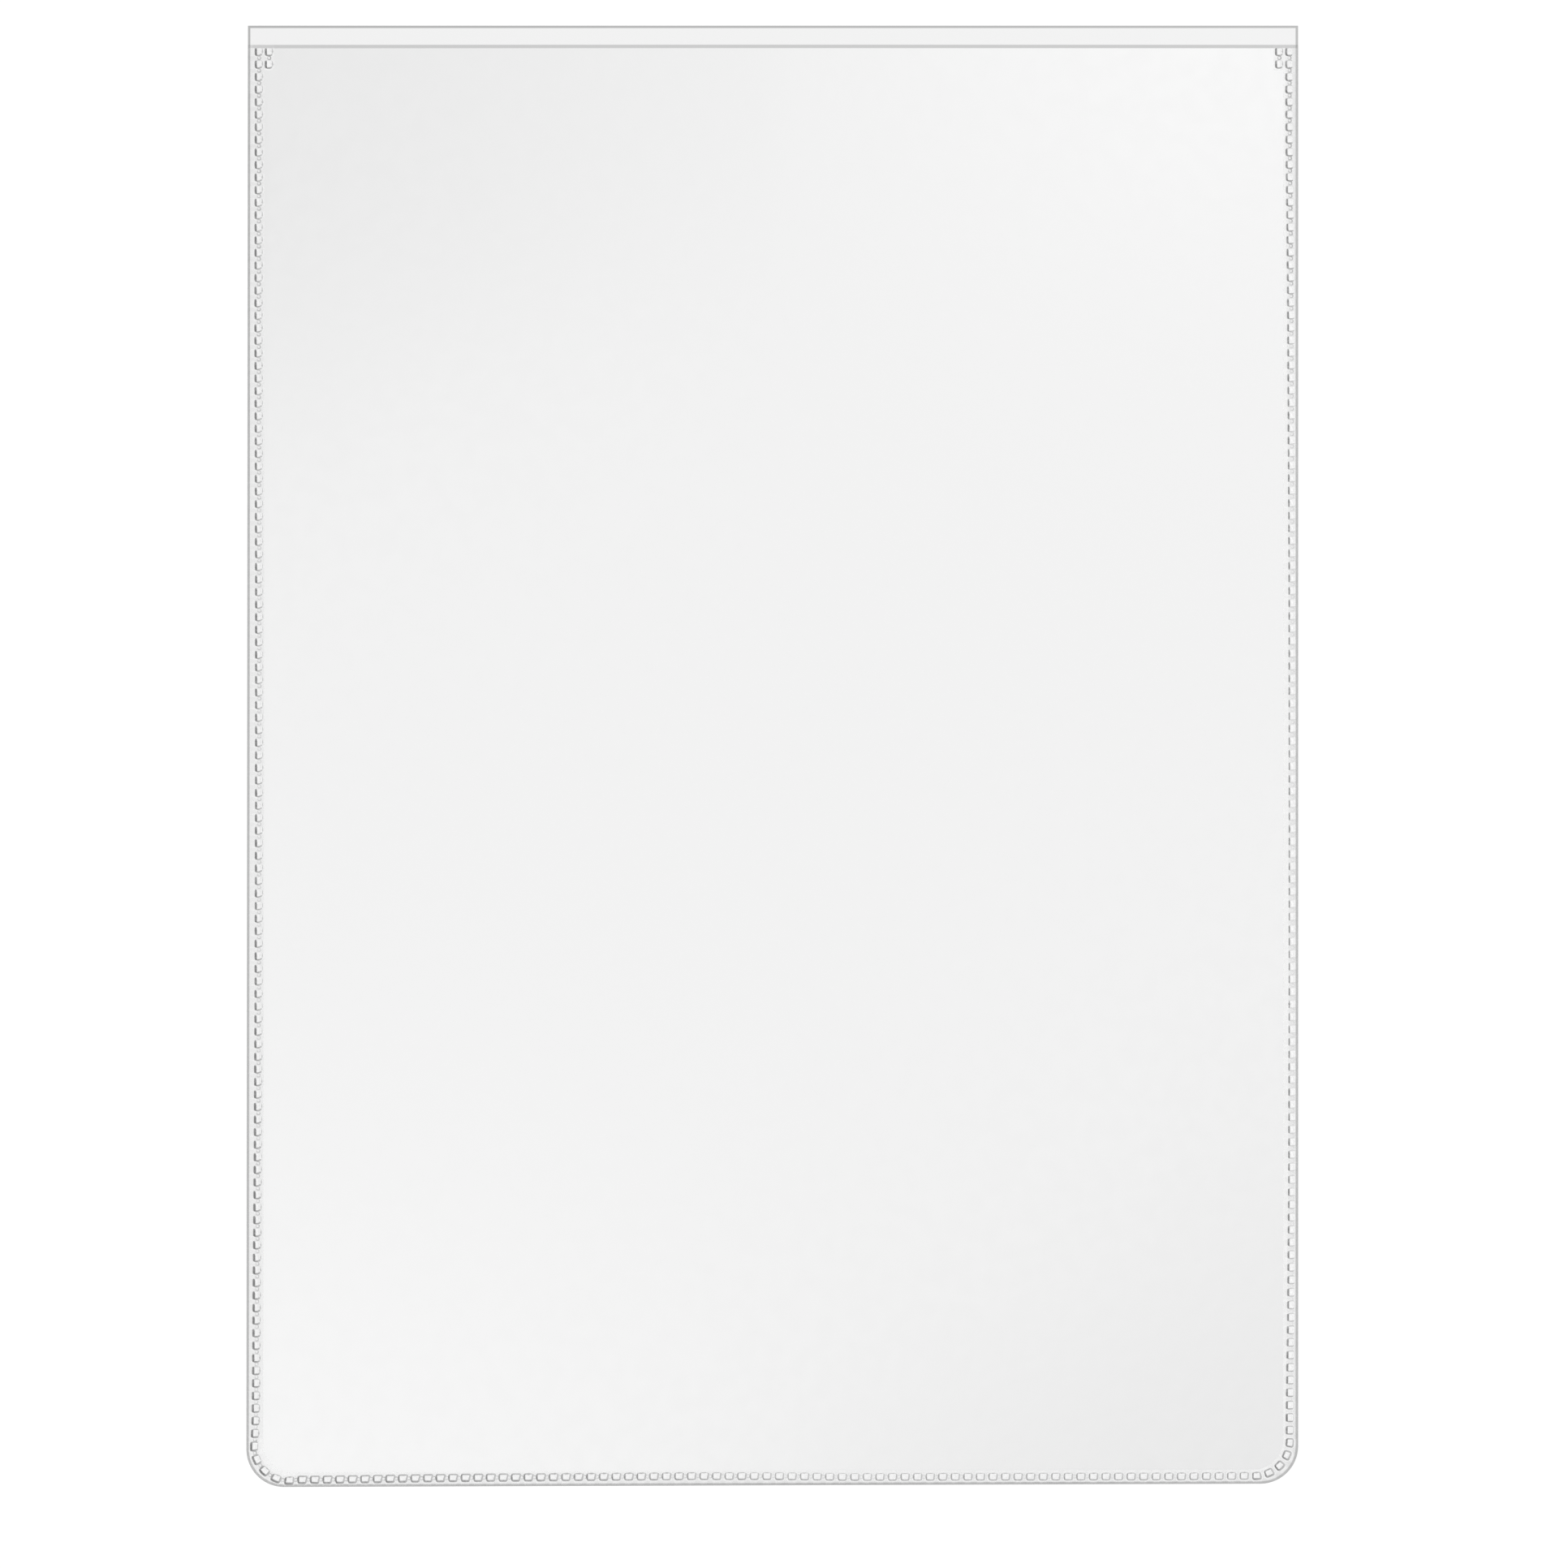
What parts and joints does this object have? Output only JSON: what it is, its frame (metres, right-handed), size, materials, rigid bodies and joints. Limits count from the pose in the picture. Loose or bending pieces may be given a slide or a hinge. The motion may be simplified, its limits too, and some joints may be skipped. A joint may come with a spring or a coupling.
{
  "type": "id document sleeve",
  "caption": "Flat clear film sleeve for a small document, welded on the sides and bottom with a fine chain pattern and open at the top, with a short back lip at the mouth.",
  "frame": {"origin": "middle of the back face, which the sleeve lies on", "axes": "+X to the right, +Y towards the open mouth, +Z out of the front face"},
  "size_m": [0.111, 0.1544, 0.0007],
  "materials": {
    "clear_film": "clear soft film, smooth and glossy, very slightly grey, with faint handling haze",
    "fused_film": "two plies of the clear film fused by heat, pressed with a chain of small rounded blocks"
  },
  "bodies": {
    "sleeve_body": {"back_sheet": "clear_film", "left_weld_seam": "fused_film", "left_corner_weld": "fused_film", "bottom_weld_seam": "fused_film", "right_corner_weld": "fused_film", "right_weld_seam": "fused_film", "left_mouth_tack": "fused_film", "right_mouth_tack": "fused_film"},
    "front_panel": {"front_sheet": "clear_film"}
  },
  "joints": [
    {"name": "mouth_open", "type": "hinge", "parent": "sleeve_body", "child": "front_panel", "pos_m": [0, -0.07564, 0.0004], "axis": [1, 0, 0], "range_deg": [0, 3.5], "stiffness_Nm_per_rad": 0.2}
  ]
}
